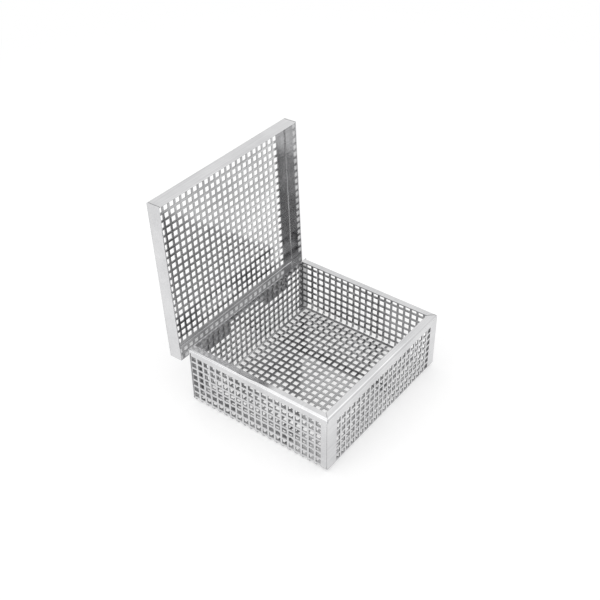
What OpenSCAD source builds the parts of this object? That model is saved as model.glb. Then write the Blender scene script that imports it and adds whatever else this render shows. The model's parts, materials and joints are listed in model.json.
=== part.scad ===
// Autoclave basket: a square-perforated stainless tray with a hinged lid.
// Millimetres, +Z up. Origin at the centre of the underside of the floor.
// -Y is the front, +Y is the hinge side. The lid is drawn standing open
// against its stop.

/* [Basket] */
// Outside width, along the hinge side
basket_w = 168; // [147:7:217]
// Outside depth, front to back
basket_d = 147.5; // [126.5:7:196.5]
// Height from the underside of the floor to the top of the rim
basket_h = 59.5; // [52.5:7:87.5]
// Thickness of the perforated sheet
sheet_t = 1; // [0.8:0.1:1.2]
// Outside radius of the folds round the floor
floor_fold_r = 4; // [3:0.5:5]
// Outside radius of the fold that turns the rim inwards
rim_fold_r = 2.5; // [2:0.25:3]
// Width of the rim that is turned inwards on the front and the two sides
rim_w = 7; // [5:0.5:8]
// Outside radius of the upright corner folds
corner_fold_r = 1.5; // [1.3:0.1:2]
// Length of the tabs that lap inside the front and back walls
tab_w = 13; // [12:0.5:15]
// Gap at the mitred corners of the rim
mitre_gap = 0.5; // [0.3:0.1:0.8]
// Distance of the front and back walls' cut ends from the side walls' outside
seam_inset = 0.2; // [0.1:0.05:0.4]

/* [Perforation] */
// Side of each square hole
hole = 5; // [4:0.25:5.25]
// Distance from hole to hole, both ways
pitch = 7; // [7:0.5:8]
// Offset of the hole pattern from the centre line, along the width
pattern_x = 1; // [-1:0.25:1.5]
// Offset of the hole pattern from the centre line, front to back
pattern_y = -1.25; // [-2:0.25:-1]
// Least plain sheet between the top row of holes and the top of the flat wall
top_margin = 1.5; // [1:0.5:9]
// Least plain sheet at both ends of the front and back walls
end_margin = 8; // [7:0.5:9]
// Plain sheet between a tab's cut end and its holes
tab_margin = 1.5; // [1:0.25:3]

/* [Lid] */
// Gap between the basket wall and the lid at each side
lid_side_gap = 2.6; // [2:0.1:4]
// Gap between the front wall and the lid
lid_front_gap = 1.1; // [1:0.1:3]
// Gap between the basket's hinge leaves and the lid
lid_back_gap = 2; // [1:0.1:3]
// Gap between the rim and the closed lid
lid_rest_gap = 0.05; // [0.02:0.01:0.2]
// Outside depth of the lid's edge
lid_h = 14; // [13:0.5:16]
// Outside radius of the lid's folds
lid_fold_r = 2; // [1.5:0.1:2.5]
// Gap at the upright corner seams of the lid
lid_seam = 0.4; // [0.3:0.1:0.6]
// Offset of the lid's hole pattern from the centre line, along the width
lid_pattern_x = -1.3; // [-2:0.1:2]
// Least plain sheet from the lid's side edges to its first holes
lid_side_margin = 11; // [8:0.5:12]
// Least plain sheet from the lid's front and back edges to its first holes
lid_end_margin = 3.5; // [3:0.5:6]
// Angle through which the lid opens, from closed to its stop
lid_open = 92.2; // [90.5:0.1:96]
// Gap left at the stop, between the lid leaf's heel and the basket's leaf
stop_gap = 0.01; // [0.01:0.01:0.05]

/* [Hinges] */
// Distance between the middles of the two hinges
hinge_spacing = 84; // [70:1:90]
// Offset of the pair of hinges from the centre line
hinge_shift = -4; // [-6:1:6]
// Length of each hinge
hinge_l = 35; // [30:1:40]
// Thickness of the hinge leaves
leaf_t = 1.2; // [1:0.1:1.3]
// Diameter of the hinge pin
pin_d = 2.4; // [2:0.1:2.8]
// Diameter of the pin's peened heads
pin_head_d = 3.4; // [3.2:0.1:3.8]
// Height of the pin's peened heads
pin_head_h = 0.8; // [0.6:0.1:1]
// Radial play between the pin and the lid's knuckle
pin_play = 0.05; // [0.03:0.01:0.08]
// Distance of the pin's axis below the lid's edge, lid closed
pin_below = 1.4; // [1:0.1:2]
// Length of the basket's leaf below the pin's axis
leaf_drop = 1.5; // [1.5:0.1:3]
// Height of the basket's leaf above the pin's axis
leaf_rise = 12.5; // [9:0.5:13]
// Height of the lid's leaf above the pin's axis, lid closed
lid_leaf_rise = 11; // [9:0.5:11.5]
// End gap between knuckles
knuckle_gap = 0.3; // [0.2:0.05:0.5]
// Play between the hinge and the cut-out in the lid's edge
notch_gap = 0.6; // [0.5:0.1:1]

/* [Hidden] */
$fn = 48;
eps = 0.02;
// How far a cutter reaches past what it cuts
over = 1;

steel = "gainsboro";
hinge_steel = "silver";
pin_steel = "darkgray";

// Half sizes, and where the flat floor ends and the floor folds begin
hw = basket_w / 2;
hd = basket_d / 2;
flat_x = hw - floor_fold_r;
flat_y = hd - floor_fold_r;
fold_mid_r = floor_fold_r - sheet_t / 2;
fold_len = fold_mid_r * PI / 2;
rim_z = basket_h - rim_fold_r;
corner_x = hw - corner_fold_r;
corner_y = hd - sheet_t - corner_fold_r;

// Outer faces of the closed lid
lid_back = hd + leaf_t + lid_back_gap + sheet_t;
lid_front = hd + lid_front_gap + sheet_t;
lid_side = hw + lid_side_gap + sheet_t;
lid_top = basket_h + lid_rest_gap + sheet_t;
lid_edge_z = lid_top - lid_h;

// Hinge axis, in the middle plane of the lid's leaf and just below its edge
knuckle_d = pin_d + 2 * leaf_t;
axis_y = lid_back + leaf_t / 2;
axis_z = lid_edge_z - pin_below;

// Length of the heel below the pin. Its outer corner, leaf_t outside the
// axis, meets the basket's leaf at lid_open
stop_reach = axis_y - hd - leaf_t - stop_gap;
heel = (stop_reach + leaf_t * cos(lid_open)) / sin(lid_open);

// Pattern lines run from -lines_n to lines_n, further than the sheet reaches
lines_n = ceil((max(hw, hd) + basket_h) / pitch) + 1;
lines = [-lines_n : lines_n];

// A pattern line k of the sheet, measured along the sheet from its centre
function line_at(k, shift) = shift + k * pitch;
// Height on a wall of the pattern line that lies s past the flat floor
function wall_z(s) = floor_fold_r + s - fold_len;
// Pattern lines whose holes fit between lo and hi
function lines_between(lo, hi, shift) =
    [for (k = lines) let (c = line_at(k, shift))
        if (c - hole / 2 >= lo - eps && c + hole / 2 <= hi + eps) k];
// Pattern lines that lie at least partly on the fold at side (1 or -1)
function fold_lines(shift, flat, side) =
    [for (k = lines) let (c = side * line_at(k, shift) - flat)
        if (c + hole / 2 > eps && c - hole / 2 < fold_len - eps) k];
// Heights of the rows of holes on the wall at side, whose flat ends at top
function rows(shift, flat, side, top) =
    [for (k = lines) let (z = wall_z(side * line_at(k, shift) - flat))
        if (side * k > 0 && z + hole / 2 > floor_fold_r + eps
            && z + hole / 2 <= top - top_margin) z];

side_cols = lines_between(-corner_y, corner_y, pattern_y);
end_cols = lines_between(-hw + end_margin, hw - end_margin, pattern_x);

// ---------------------------------------------------------------- helpers

// A channel section, wide w, outer fold radius r, open upwards to height h
module channel(w, h, r) {
    if (h > r) translate([-w / 2, r]) square([w, h - r]);
    translate([-w / 2 + r, 0]) square([w - 2 * r, h]);
    intersection() {
        for (s = [-1, 1]) translate([s * (w / 2 - r), r]) circle(r);
        translate([-w / 2, 0]) square([w, r]);
    }
}

// Solid bounded by a channel section both ways, with mitred fold corners
module folded_block(w, d, h, r) {
    intersection() {
        rotate([90, 0, 0]) linear_extrude(d, center = true) channel(w, h, r);
        rotate([90, 0, 90]) linear_extrude(w, center = true) channel(d, h, r);
    }
}

// Sheet folded up on four sides, without its flat middle
module folded_edge(w, d, h, r, t) {
    difference() {
        folded_block(w, d, h, r);
        translate([0, 0, t]) folded_block(w - 2 * t, d - 2 * t, h, r - t);
        translate([0, 0, -over]) linear_extrude(r + over)
            square([w - 2 * r, d - 2 * r], center = true);
    }
}

// Flat sheet in XY with square holes at the given columns and rows
module punched(x0, x1, y0, y1, xs, ys) {
    linear_extrude(sheet_t) difference() {
        translate([x0, y0]) square([x1 - x0, y1 - y0]);
        for (x = xs, y = ys)
            translate([x - hole / 2, y - hole / 2]) square(hole);
    }
}

// Sector cut through a floor fold, about the fold's centre line, along +Y
module fold_cut(s0, s1, y) {
    a0 = s0 / fold_mid_r * 180 / PI;
    a1 = s1 / fold_mid_r * 180 / PI;
    far = 3 * floor_fold_r;
    translate([0, y + hole / 2, 0]) rotate([90, 0, 0]) linear_extrude(hole)
        polygon([[0, 0], far * [sin(a0), -cos(a0)], far * [sin(a1), -cos(a1)]]);
}

// ----------------------------------------------------------------- basket

// Folds round the floor with the rows of holes that run through them
module floor_folds() {
    difference() {
        folded_edge(basket_w, basket_d, floor_fold_r, floor_fold_r, sheet_t);
        for (side = [-1, 1]) {
            for (k = fold_lines(pattern_x, flat_x, side), j = side_cols)
                let (s = side * line_at(k, pattern_x) - flat_x)
                    if (abs(line_at(j, pattern_y)) < flat_y)
                        mirror([side < 0 ? 1 : 0, 0, 0])
                            translate([flat_x, 0, floor_fold_r])
                                fold_cut(s - hole / 2, s + hole / 2,
                                         line_at(j, pattern_y));
            for (k = fold_lines(pattern_y, flat_y, side), j = end_cols)
                let (s = side * line_at(k, pattern_y) - flat_y)
                    mirror([0, side < 0 ? 1 : 0, 0])
                        translate([0, flat_y, floor_fold_r]) rotate([0, 0, 90])
                            fold_cut(s - hole / 2, s + hole / 2,
                                     -line_at(j, pattern_x));
        }
    }
}

module floor_sheet() {
    punched(-flat_x, flat_x, -flat_y, flat_y,
            [for (k = lines_between(-flat_x - hole, flat_x + hole, pattern_x))
                line_at(k, pattern_x)],
            [for (k = lines_between(-flat_y - hole, flat_y + hole, pattern_y))
                line_at(k, pattern_y)]);
}

// Side wall (side = 1 or -1), between its upright corner folds
module side_wall(side) {
    translate([side > 0 ? hw - sheet_t : -hw, 0, 0])
        rotate([90, 0, 90])
            punched(-corner_y, corner_y, floor_fold_r, rim_z,
                    [for (j = side_cols) line_at(j, pattern_y)],
                    rows(pattern_x, flat_x, side, rim_z));
}

// Front (side = -1) or back wall (side = 1)
module end_wall(side) {
    top = side > 0 ? basket_h : rim_z;
    translate([0, side > 0 ? hd : -hd + sheet_t, 0])
        rotate([90, 0, 0])
            punched(-hw + seam_inset, hw - seam_inset, floor_fold_r, top,
                    [for (j = end_cols) line_at(j, pattern_x)],
                    rows(pattern_y, flat_y, side, top));
}

// Upright corner fold of a side wall and the tab that laps inside the end wall
module corner_tab(sx, sy) {
    z0 = floor_fold_r;
    z1 = rim_z;
    tab_col = hw - tab_w + tab_margin + hole / 2;
    mirror([sx < 0 ? 1 : 0, 0, 0]) mirror([0, sy < 0 ? 1 : 0, 0]) {
        translate([0, 0, z0]) linear_extrude(z1 - z0) intersection() {
            translate([corner_x, corner_y]) difference() {
                circle(corner_fold_r);
                circle(corner_fold_r - sheet_t);
            }
            translate([corner_x, corner_y]) square(corner_fold_r);
        }
        translate([0, hd - sheet_t, 0]) rotate([90, 0, 0])
            punched(hw - tab_w, corner_x, z0, z1, [tab_col],
                    rows(pattern_x, flat_x, sx, rim_z));
    }
}

// Section of the inward rim, from the wall's top edge at x = 0 towards +X,
// with a length of the wall below it
module rim_section() {
    translate([0, -over]) square([sheet_t, over]);
    difference() {
        union() {
            translate([rim_fold_r, 0]) circle(rim_fold_r);
            translate([rim_fold_r, rim_fold_r - sheet_t])
                square([rim_w - rim_fold_r, sheet_t]);
        }
        translate([rim_fold_r, 0]) circle(rim_fold_r - sheet_t);
        translate([-eps, -2 * rim_fold_r]) square([4 * rim_fold_r, 2 * rim_fold_r]);
        translate([rim_fold_r, -eps])
            square([2 * rim_fold_r, rim_fold_r - sheet_t + eps]);
    }
}

// Length of rim along Y from y0 to y1, mitred at the y0 end, on the -X side
module rim_strip(outer, y0, y1, mitre_end) {
    g = mitre_gap / 2 * sqrt(2);
    w = rim_w + over;
    intersection() {
        translate([-outer, y1, rim_z]) rotate([90, 0, 0])
            linear_extrude(y1 - y0) rim_section();
        translate([-outer, 0, rim_z - 2 * over]) linear_extrude(rim_fold_r + 3 * over)
            polygon([[0, y0 + g], [w, y0 + g + w],
                     [w, mitre_end ? y1 - g - w : y1], [0, mitre_end ? y1 - g : y1]]);
    }
}

module basket_tray() {
    color(steel) {
        floor_sheet();
        floor_folds();
        for (s = [-1, 1]) {
            side_wall(s);
            end_wall(s);
            for (t = [-1, 1]) corner_tab(s, t);
        }
        rim_strip(hw, -hd, hd - sheet_t, false);
        mirror([1, 0, 0]) rim_strip(hw, -hd, hd - sheet_t, false);
        rotate([0, 0, 90]) rim_strip(hd, -hw, hw, true);
    }
}

// -------------------------------------------------------------------- lid

// Puts something drawn with the lid closed where the open lid has it
module opened() {
    translate([0, axis_y, axis_z]) rotate([-lid_open, 0, 0])
        translate([0, -axis_y, -axis_z]) children();
}

lid_w = 2 * lid_side;
lid_d = lid_front + lid_back;
lid_mid = (lid_back - lid_front) / 2;

// Evenly spaced holes about shift, at least the margin from a centred sheet's ends
function centred(size, margin, shift) =
    let (n = floor((size - 2 * margin - hole) / pitch + eps) + 1)
        [for (i = [0 : n - 1]) shift + (i - (n - 1) / 2) * pitch];

module lid_sheet() {
    x = lid_w / 2 - lid_fold_r;
    y = lid_d / 2 - lid_fold_r;
    punched(-x, x, -y, y, centred(lid_w, lid_side_margin, lid_pattern_x),
            centred(lid_d, lid_end_margin, 0));
}

// Cut-outs of the back edge round the hinges, lid's own frame, upside down
module hinge_notches() {
    w = hinge_l + 2 * (pin_head_h + notch_gap);
    z = lid_top - axis_z - knuckle_d / 2 - notch_gap;
    for (x = hinge_xs)
        translate([x - w / 2, lid_d / 2 - sheet_t - over, z])
            cube([w, sheet_t + 2 * over, lid_h]);
}

// Corner seams: the front and back edges stop short of the side edges
module lid_seams() {
    for (sx = [-1, 1], sy = [-1, 1])
        translate([sx * (lid_w / 2 - sheet_t - lid_seam / 2),
                   sy * (lid_d / 2 - sheet_t / 2), lid_fold_r + lid_h / 2])
            cube([lid_seam, sheet_t + eps, lid_h], center = true);
}

module lid_tray() {
    color(steel) opened()
        translate([0, lid_mid, lid_top]) mirror([0, 0, 1]) {
            lid_sheet();
            difference() {
                folded_edge(lid_w, lid_d, lid_h, lid_fold_r, sheet_t);
                hinge_notches();
                lid_seams();
            }
        }
}

// ----------------------------------------------------------------- hinges

hinge_xs = [hinge_shift - hinge_spacing / 2, hinge_shift + hinge_spacing / 2];
knuckle_l = (hinge_l - 2 * knuckle_gap) / 3;
knuckle_step = knuckle_l + knuckle_gap;

// Knuckle round the pin's axis, its middle at x
module knuckle(x) {
    translate([x - knuckle_l / 2, 0, 0]) rotate([90, 0, 90])
        cylinder(d = knuckle_d, h = knuckle_l);
}

// Bore through all knuckles of a leaf
module pin_bore(d) {
    rotate([90, 0, 90]) cylinder(d = d, h = hinge_l + 2 * over, center = true);
}

// Basket's leaf: a plate on the back wall, cranked out over the pin to the
// two outer knuckles
module basket_leaf(x) {
    wall = hd - axis_y;
    color(hinge_steel) translate([x, axis_y, axis_z]) difference() {
        union() {
            translate([-hinge_l / 2, wall, -leaf_drop])
                cube([hinge_l, leaf_t, leaf_drop + leaf_rise]);
            for (s = [-1, 1]) {
                knuckle(s * knuckle_step);
                translate([s * knuckle_step - knuckle_l / 2, wall, knuckle_d / 2 - leaf_t])
                    cube([knuckle_l, -wall, leaf_t]);
            }
        }
        pin_bore(pin_d);
    }
}

// Lid's leaf, drawn with the lid closed: a plate up the outside of the lid's
// back edge, the middle knuckle and the heel below it that stops the lid
module lid_leaf(x) {
    foot = knuckle_d / 2 + knuckle_gap;
    color(hinge_steel) opened() translate([x, axis_y, axis_z]) difference() {
        union() {
            translate([-hinge_l / 2, -leaf_t / 2, foot])
                cube([hinge_l, leaf_t, lid_leaf_rise - foot]);
            translate([-knuckle_l / 2, -leaf_t / 2, 0])
                cube([knuckle_l, leaf_t, foot + leaf_t]);
            translate([-knuckle_l / 2, 0, -heel])
                cube([knuckle_l, leaf_t, heel]);
            knuckle(0);
        }
        pin_bore(pin_d + 2 * pin_play);
    }
}

// Pin with a domed head at each end
module hinge_pin(x) {
    dome_r = (pow(pin_head_d / 2, 2) + pow(pin_head_h, 2)) / (2 * pin_head_h);
    color(pin_steel) translate([x, axis_y, axis_z]) rotate([90, 0, 90]) {
        cylinder(d = pin_d, h = hinge_l, center = true);
        for (s = [0, 1]) mirror([0, 0, s]) translate([0, 0, hinge_l / 2])
            rotate_extrude() intersection() {
                square([pin_head_d / 2, pin_head_h]);
                translate([0, pin_head_h - dome_r]) circle(dome_r);
            }
    }
}

// ------------------------------------------------------------------ nodes

basket_tray();
lid_tray();
basket_leaf(hinge_xs[0]);  // hinge_leaf_basket_left
basket_leaf(hinge_xs[1]);  // hinge_leaf_basket_right
lid_leaf(hinge_xs[0]);  // hinge_leaf_lid_left
lid_leaf(hinge_xs[1]);  // hinge_leaf_lid_right
hinge_pin(hinge_xs[0]);  // hinge_pin_left
hinge_pin(hinge_xs[1]);  // hinge_pin_right
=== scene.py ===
"""Looks of the autoclave basket: rolled and polished sheet, satin hinges, a pale studio.

All lengths are in metres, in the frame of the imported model.
"""
import json
import math

import bpy
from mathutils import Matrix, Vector


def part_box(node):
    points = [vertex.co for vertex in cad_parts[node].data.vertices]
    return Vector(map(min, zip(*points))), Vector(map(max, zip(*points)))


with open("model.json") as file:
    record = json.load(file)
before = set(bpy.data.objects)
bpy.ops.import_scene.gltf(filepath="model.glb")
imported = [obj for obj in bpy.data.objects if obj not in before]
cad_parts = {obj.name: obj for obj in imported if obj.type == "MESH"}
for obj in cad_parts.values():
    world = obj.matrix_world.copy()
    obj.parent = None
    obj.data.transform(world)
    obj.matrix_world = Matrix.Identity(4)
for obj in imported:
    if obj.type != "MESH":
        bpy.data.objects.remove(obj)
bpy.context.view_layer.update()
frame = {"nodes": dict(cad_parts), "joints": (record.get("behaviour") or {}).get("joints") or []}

MM = 0.001
WHITE = (1, 1, 1, 1)
# Thickness of the sheet, with a little to spare
SHEET = 1.05 * MM
# Further out than any part of the basket
FAR = 1.0
# How far the open lid leans back from upright
LID_TILT = math.radians(frame["joints"][0]["range_deg"][1] - 90)
LEAF_NODES = ("hinge_leaf_basket_left", "hinge_leaf_basket_right",
              "hinge_leaf_lid_left", "hinge_leaf_lid_right")
PIN_NODES = ("hinge_pin_left", "hinge_pin_right")

# Camera, fitted to the photograph
CAMERA_TARGET = Vector((0, 0, 60)) * MM
CAMERA_AZIMUTH = math.radians(-53.71)
CAMERA_ELEVATION = math.radians(39.52)
CAMERA_DISTANCE = 847 * MM
CAMERA_LENS = 57.99
CAMERA_SENSOR = 36
CAMERA_SHIFT = (-0.0261, 0.0517)

# Softened edge of the punched holes and the sheet's cut ends, and of the hinges
HOLE_EDGE = 0.09 * MM
LEAF_EDGE = 0.15 * MM
# An edge is softened where its two faces meet at more than this
SHARP_ANGLE = math.radians(50)
# Points of the mesh nearer than this are joined first
WELD_DISTANCE = 0.001 * MM

# Walls of the punched holes: torn and not polished, so rougher; darker partly as torn metal,
# partly as painted shade in the holes
CUT_WALL_AND_SHADE_COLOUR = (0.36, 0.36, 0.365, 1)
CUT_ROUGHNESS = 0.25
# How squarely a face has to lie in the sheet's plane to be all hole wall, or none
CUT_FACING = (0.35, 0.85)

# Dark and light tone of the steel: the trays' polished outside, their inside
# darkened by painted shade, the hinge leaves and the pins
TRAY_OUTSIDE = ((0.56, 0.56, 0.57), (0.76, 0.76, 0.765))
BASKET_INSIDE_SHADED = ((0.23, 0.23, 0.235), (0.54, 0.54, 0.545))
LID_INSIDE_SHADED = ((0.28, 0.28, 0.285), (0.70, 0.70, 0.705))
LEAF_TONES = ((0.40, 0.40, 0.41), (0.56, 0.56, 0.57))
PIN_TONES = ((0.42, 0.42, 0.44), (0.60, 0.60, 0.62))
# Where the dark and the light tone lie in the mottle of 0 to 1
TONE_STOPS = (0.3, 0.7)

# Least and most roughness
TRAY_GLOSS = (0.05, 0.15)
LEAF_GLOSS = (0.20, 0.38)
PIN_GLOSS = (0.18, 0.38)

# Rolling grain: streaks to the metre along each axis, and its depth
TRAY_GRAIN = (18.0, 900.0, 900.0)
LEAF_GRAIN = (40.0, 1500.0, 1500.0)
PIN_GRAIN = (1500.0, 60.0, 60.0)
TRAY_GRAIN_DEPTH = 0.01 * MM
HINGE_GRAIN_DEPTH = 0.02 * MM
# Slow waves in the sheet: their depth
TRAY_WAVE_DEPTH = 0.3 * MM
LEAF_WAVE_DEPTH = 0.1 * MM
PIN_WAVE_DEPTH = 0.05 * MM

# Clouds, specks and waves to the metre
CLOUD_SCALE = 26.0
SPECK_SCALE = 1400.0
WAVE_SCALE = 34.0

# Spot welds of the hinge leaves
WELD_R = 1.9 * MM
WELD_DEPTH = 0.12 * MM
WELD_COLOUR = (0.36, 0.33, 0.30, 1)
WELD_TINT = 0.6
WELD_STEP = 11.5 * MM
WELD_INSET = 4 * MM

WORLD_LIGHT = 0.84
# Softboxes: place, side and power in watts, both turned to the basket's middle
TOP_BOX = ((-0.1, 0.15, 1.4), 1.8, 4.2)
LEFT_BOX = ((-1.3, 0.2, 0.7), 1.0, 2.4)
LAMPS_AIM = (0, 0, 0.08)
FLOOR_HALF = 8.0
# How far the floor lies below the basket, so that the two don't touch
FLOOR_DROP = 0.02 * MM
# The floor's colour where it only throws light back
FLOOR_PLAIN = 0.82
# Shares of the floor's white that keep the shadows, and that shine by themselves
FLOOR_SHADED = 0.68
FLOOR_GLOW = 0.38
# Distances between which the floor fades to the plain white of the background
FLOOR_FADE = (0.25, 0.9)


# ------------------------------------------------------------------ node tools

class Tree:
    """Short names for adding and joining shader nodes."""

    def __init__(self, id_data):
        id_data.use_nodes = True
        self.tree = id_data.node_tree
        self.tree.nodes.clear()

    def add(self, kind, inputs=(), **settings):
        node = self.tree.nodes.new("ShaderNode" + kind)
        for name, value in settings.items():
            setattr(node, name, value)
        for name, value in dict(inputs).items():
            self.put(node.inputs[name], value)
        return node

    def put(self, socket, value):
        """Sets a socket, or links it where the value is another node's output."""
        if isinstance(value, bpy.types.NodeSocket):
            self.tree.links.new(value, socket)
        else:
            socket.default_value = value

    def maths(self, operation, a, b=0.0):
        node = self.add("Math", {0: a, 1: b}, operation=operation)
        return node.outputs[0]

    def noise(self, place, scale, detail=3.0, roughness=0.5):
        node = self.add("TexNoise", {"Vector": place, "Scale": scale,
                                     "Detail": detail, "Roughness": roughness})
        return node.outputs["Fac"]

    def stretched(self, place, scale):
        """Coordinates scaled by a different factor along each axis."""
        return self.add("Mapping", {"Vector": place, "Scale": scale}).outputs[0]

    def ramp(self, factor, stops):
        """Greys or colours at the given positions."""
        node = self.add("ValToRGB", {"Fac": factor})
        stops = list(stops)
        points = node.color_ramp.elements
        while len(points) < len(stops):
            points.new(0.5)
        for point, (position, colour) in zip(points, stops):
            point.position = position
            point.color = (*colour, 1)
        return node.outputs["Color"]

    def mixed(self, factor, first, second):
        """The first colour where factor is 0, the second where it is 1."""
        node = self.add("Mix", data_type="RGBA")
        for socket, value in zip((0, 6, 7), (factor, first, second)):
            self.put(node.inputs[socket], value)
        return node.outputs[2]

    def span(self, value, low, high, ends=(0.0, 1.0)):
        """Maps the range between ends to low..high, and stops there."""
        node = self.add("MapRange", {"Value": value, "From Min": ends[0],
                                     "From Max": ends[1], "To Min": low, "To Max": high})
        return node.outputs["Result"]

    def bump(self, height, strength, distance, normal=None):
        inputs = {"Height": height, "Strength": strength, "Distance": distance}
        if normal is not None:
            inputs["Normal"] = normal
        return self.add("Bump", inputs).outputs["Normal"]

    def seen(self):
        """1 for rays from the camera, in a reflection or through glass, else 0."""
        path = self.add("LightPath")
        bent = self.maths("MAXIMUM", path.outputs["Is Glossy Ray"],
                          path.outputs["Is Transmission Ray"])
        return self.maths("MAXIMUM", path.outputs["Is Camera Ray"], bent)


# ------------------------------------------------------------------- materials

def cut_mask(t, place, normal, zones):
    """1 on the walls of the punched holes, 0 on the faces of the sheet.

    A zone is (axis, low, high): where the coordinate, without its sign, lies between
    low and high, the sheet faces along that axis.
    """
    where = t.add("SeparateXYZ", {0: place})
    facing = t.add("SeparateXYZ", {0: normal})
    inside, flat = 0.0, 0.0
    for axis, low, high in zones:
        size = t.maths("ABSOLUTE", where.outputs[axis])
        zone = t.maths("MULTIPLY", t.maths("GREATER_THAN", size, low),
                       t.maths("LESS_THAN", size, high))
        along = t.maths("ABSOLUTE", facing.outputs[axis])
        inside = t.maths("MAXIMUM", inside, zone)
        flat = t.maths("MAXIMUM", flat, t.maths("MULTIPLY", zone, along))
    turned = t.span(flat, 1.0, 0.0, CUT_FACING)
    return t.maths("MULTIPLY", inside, turned)


def inner_shade_mask(t, place, normal, middle):
    """1 on the faces that look into the folded tray, where painted shade darkens the steel, 0 on
    its outside.
    """
    inward = t.add("VectorMath", {0: middle, 1: place}, operation="SUBTRACT")
    side = t.add("VectorMath", {0: inward.outputs[0], 1: normal},
                 operation="DOT_PRODUCT")
    return t.maths("GREATER_THAN", side.outputs["Value"], 0.0)


def weld_mask(t, place, spots):
    """1 at the middle of each spot weld, falling to 0 at its rim."""
    near = FAR
    for spot in spots:
        gap = t.add("VectorMath", {0: place, 1: spot}, operation="DISTANCE")
        near = t.maths("MINIMUM", near, gap.outputs["Value"])
    return t.span(near, 1.0, 0.0, (0.6 * WELD_R, WELD_R))


def steel(name, tones, gloss, grain, grain_depth, wave_depth,
          tilt=0.0, zones=(), inside=None, middle=None, spots=()):
    """Stainless steel: rolling grain, slow waves in the sheet, cloudy gloss.

    The inside of a tray round middle has the tones of inside: painted shade that
    darkens the faces looking into the tray. The walls of the punched holes are
    rougher, and darker partly as torn metal and partly by painted shade for the
    shadow in the holes; spot welds leave round, slightly sunk and tinted marks.
    """
    material = bpy.data.materials.new(name)
    t = Tree(material)
    coordinates = t.add("TexCoord")
    place = coordinates.outputs["Object"]

    clouds = t.noise(place, CLOUD_SCALE, 4.0, 0.55)
    streaks = t.noise(t.stretched(place, grain), 1.0, 2.0, 0.6)
    specks = t.noise(place, SPECK_SCALE, 2.0, 0.7)
    waves = t.noise(place, WAVE_SCALE, 1.0, 0.4)

    mottle = t.maths("ADD", t.maths("MULTIPLY", clouds, 0.6),
                     t.maths("MULTIPLY", streaks, 0.4))
    colour = t.ramp(mottle, zip(TONE_STOPS, tones))
    dullness = t.maths("ADD", t.maths("MULTIPLY", streaks, 0.5),
                       t.maths("MULTIPLY", specks, 0.5))
    roughness = t.span(dullness, *gloss)

    normal = t.bump(waves, 0.6, wave_depth)
    normal = t.bump(streaks, 0.5, grain_depth, normal)
    normal = t.bump(specks, 0.3, grain_depth, normal)

    # Painted shade: faces looking into the tray take the darker tones of inside
    if inside:
        shaded_tones = t.ramp(mottle, zip(TONE_STOPS, inside))
        inner_shade = inner_shade_mask(t, place, coordinates.outputs["Normal"], middle)
        colour = t.mixed(inner_shade, colour, shaded_tones)
    if zones:
        turn = (tilt, 0, 0)
        upright = t.add("Mapping", {"Vector": place, "Rotation": turn}).outputs[0]
        facing = t.add("Mapping", {"Vector": coordinates.outputs["Normal"],
                                   "Rotation": turn}).outputs[0]
        cut = cut_mask(t, upright, facing, zones)
        # Painted shade in the holes, on top of the torn metal's own darker grey
        colour = t.mixed(cut, colour, CUT_WALL_AND_SHADE_COLOUR)
        roughness = t.maths("ADD", roughness, t.maths("MULTIPLY", cut, CUT_ROUGHNESS))
    if spots:
        weld = weld_mask(t, place, spots)
        colour = t.mixed(t.maths("MULTIPLY", weld, WELD_TINT), colour, WELD_COLOUR)
        normal = t.bump(t.maths("MULTIPLY", weld, -1.0), 0.8, WELD_DEPTH, normal)

    shader = t.add("BsdfPrincipled", {
        "Base Color": colour, "Metallic": 1.0, "Roughness": roughness,
        "Normal": normal})
    t.add("OutputMaterial", {"Surface": shader.outputs[0]})
    return material


def dress(name, material, edge):
    """Gives a CAD node its finish, and softens its sharp edges."""
    node = frame["nodes"][name]
    node.data.materials.clear()
    node.data.materials.append(material)
    weld = node.modifiers.new("weld", "WELD")
    weld.merge_threshold = WELD_DISTANCE
    bevel = node.modifiers.new("edge", "BEVEL")
    bevel.width = edge
    bevel.segments = 1
    bevel.limit_method = "ANGLE"
    bevel.angle_limit = SHARP_ANGLE
    bevel.harden_normals = True


def basket_zones():
    """Where the basket's floor, rims, side walls and end walls are flat sheet."""
    _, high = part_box("basket_tray")
    # The corner tabs lap inside the end walls, so those are two sheets thick
    return [("Z", -FAR, SHEET), ("Z", high.z - SHEET, FAR), ("X", high.x - SHEET, FAR),
            ("Y", high.y - 2 * SHEET, FAR)]


def lid_zones():
    """Where the lid's panel is flat sheet, with the lid turned upright."""
    _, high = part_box("lid_tray")
    back = high.y * math.cos(LID_TILT) - high.z * math.sin(LID_TILT)
    return [("Y", back - SHEET, FAR)]


def dress_tray(node, tilt, zones, inside):
    """Finish of a folded and punched tray that leans back by tilt, with painted shade on its
    inside.
    """
    low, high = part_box(node)
    material = steel(node.replace("tray", "steel"), TRAY_OUTSIDE, TRAY_GLOSS, TRAY_GRAIN,
                     TRAY_GRAIN_DEPTH, TRAY_WAVE_DEPTH, tilt=tilt, zones=zones,
                     inside=inside, middle=(low + high) / 2)
    dress(node, material, HOLE_EDGE)


def leaf_spots(name):
    """Three spot welds along a leaf, on its outer face."""
    low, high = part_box(name)
    middle = (low + high) / 2
    if "basket" in name:
        y, z = low.y + SHEET, high.z - WELD_INSET
    else:
        y, z = high.y - WELD_INSET, middle.z
    return [(middle.x + i * WELD_STEP, y, z) for i in (-1, 0, 1)]


def dress_leaf(node):
    """Finish of a hinge leaf, with its spot welds."""
    material = steel(node + "_steel", LEAF_TONES, LEAF_GLOSS, LEAF_GRAIN,
                     HINGE_GRAIN_DEPTH, LEAF_WAVE_DEPTH, spots=leaf_spots(node))
    dress(node, material, LEAF_EDGE)


# ----------------------------------------------------------------------- studio

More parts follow.
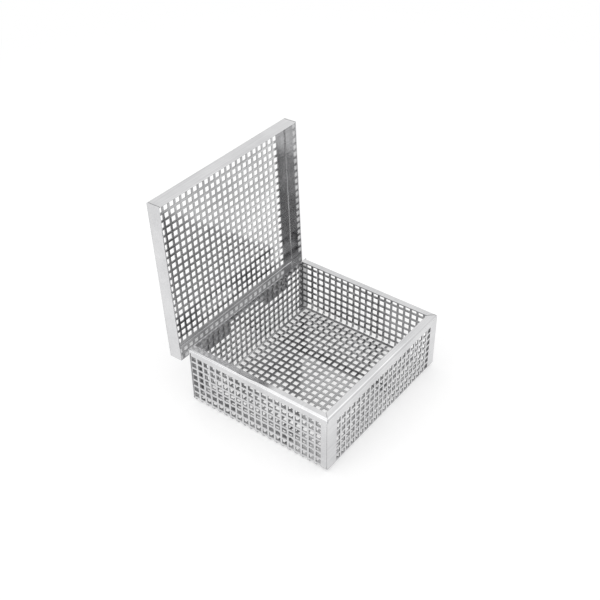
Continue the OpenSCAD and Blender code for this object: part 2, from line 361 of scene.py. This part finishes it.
def make_floor():
    """Pale floor that shows white, and keeps the basket's shadow."""
    bpy.ops.mesh.primitive_plane_add(size=2 * FLOOR_HALF, location=(0, 0, -FLOOR_DROP))
    floor = bpy.context.object
    floor.name = "floor"
    material = bpy.data.materials.new("floor_paper")
    t = Tree(material)
    plain = t.add("BsdfDiffuse", {"Color": (*[FLOOR_PLAIN] * 3, 1)})
    shaded = t.add("BsdfDiffuse", {"Color": (*[FLOOR_SHADED] * 3, 1)})
    glow = t.add("Emission", {"Color": WHITE, "Strength": FLOOR_GLOW})
    near = t.add("AddShader", {0: shaded.outputs[0], 1: glow.outputs[0]})
    white = t.add("Emission", {"Color": WHITE, "Strength": 1.0})
    place = t.add("TexCoord").outputs["Object"]
    away = t.add("VectorMath", {0: place}, operation="LENGTH").outputs["Value"]
    fade = t.span(away, 0.0, 1.0, FLOOR_FADE)
    shown = t.add("MixShader", {0: fade, 1: near.outputs[0], 2: white.outputs[0]})
    mixed = t.add("MixShader", {0: t.seen(), 1: plain.outputs[0],
                                2: shown.outputs[0]})
    t.add("OutputMaterial", {"Surface": mixed.outputs[0]})
    floor.data.materials.append(material)


def make_world():
    """Soft light from all round, and plain white wherever the surroundings show."""
    world = bpy.data.worlds.new("studio")
    bpy.context.scene.world = world
    t = Tree(world)
    light = t.add("Background", {"Color": WHITE, "Strength": WORLD_LIGHT})
    white = t.add("Background", {"Color": WHITE, "Strength": 1.0})
    mixed = t.add("MixShader", {0: t.seen(), 1: light.outputs[0], 2: white.outputs[0]})
    t.add("OutputWorld", {"Surface": mixed.outputs[0]})


def make_softbox(name, place, side, power):
    data = bpy.data.lights.new(name, "AREA")
    data.shape = "RECTANGLE"
    data.size, data.size_y = side, side
    data.energy = power
    aim = Vector(LAMPS_AIM) - Vector(place)
    lamp = bpy.data.objects.new(name, data)
    lamp.location = place
    lamp.rotation_euler = aim.to_track_quat("-Z", "Y").to_euler()
    bpy.context.collection.objects.link(lamp)


def make_camera():
    """Looks at the basket as the photograph does."""
    data = bpy.data.cameras.new("camera")
    data.lens = CAMERA_LENS
    data.sensor_width = CAMERA_SENSOR
    data.shift_x, data.shift_y = CAMERA_SHIFT
    camera = bpy.data.objects.new("camera", data)
    flat = math.cos(CAMERA_ELEVATION)
    back = Vector((math.sin(CAMERA_AZIMUTH) * flat, -math.cos(CAMERA_AZIMUTH) * flat,
                   math.sin(CAMERA_ELEVATION)))
    camera.location = CAMERA_TARGET + back * CAMERA_DISTANCE
    camera.rotation_euler = (-back).to_track_quat("-Z", "Y").to_euler()
    bpy.context.collection.objects.link(camera)
    bpy.context.scene.camera = camera


# ------------------------------------------------------------------------ scene

bpy.context.scene.view_settings.view_transform = "Standard"
make_camera()
make_world()
make_floor()
make_softbox("top_box", *TOP_BOX)
make_softbox("left_box", *LEFT_BOX)

dress_tray("basket_tray", 0.0, basket_zones(), BASKET_INSIDE_SHADED)
dress_tray("lid_tray", LID_TILT, lid_zones(), LID_INSIDE_SHADED)
for leaf in LEAF_NODES:
    dress_leaf(leaf)
pin_steel = steel("pin_steel", PIN_TONES, PIN_GLOSS, PIN_GRAIN,
                  HINGE_GRAIN_DEPTH, PIN_WAVE_DEPTH)
for pin in PIN_NODES:
    dress(pin, pin_steel, LEAF_EDGE)
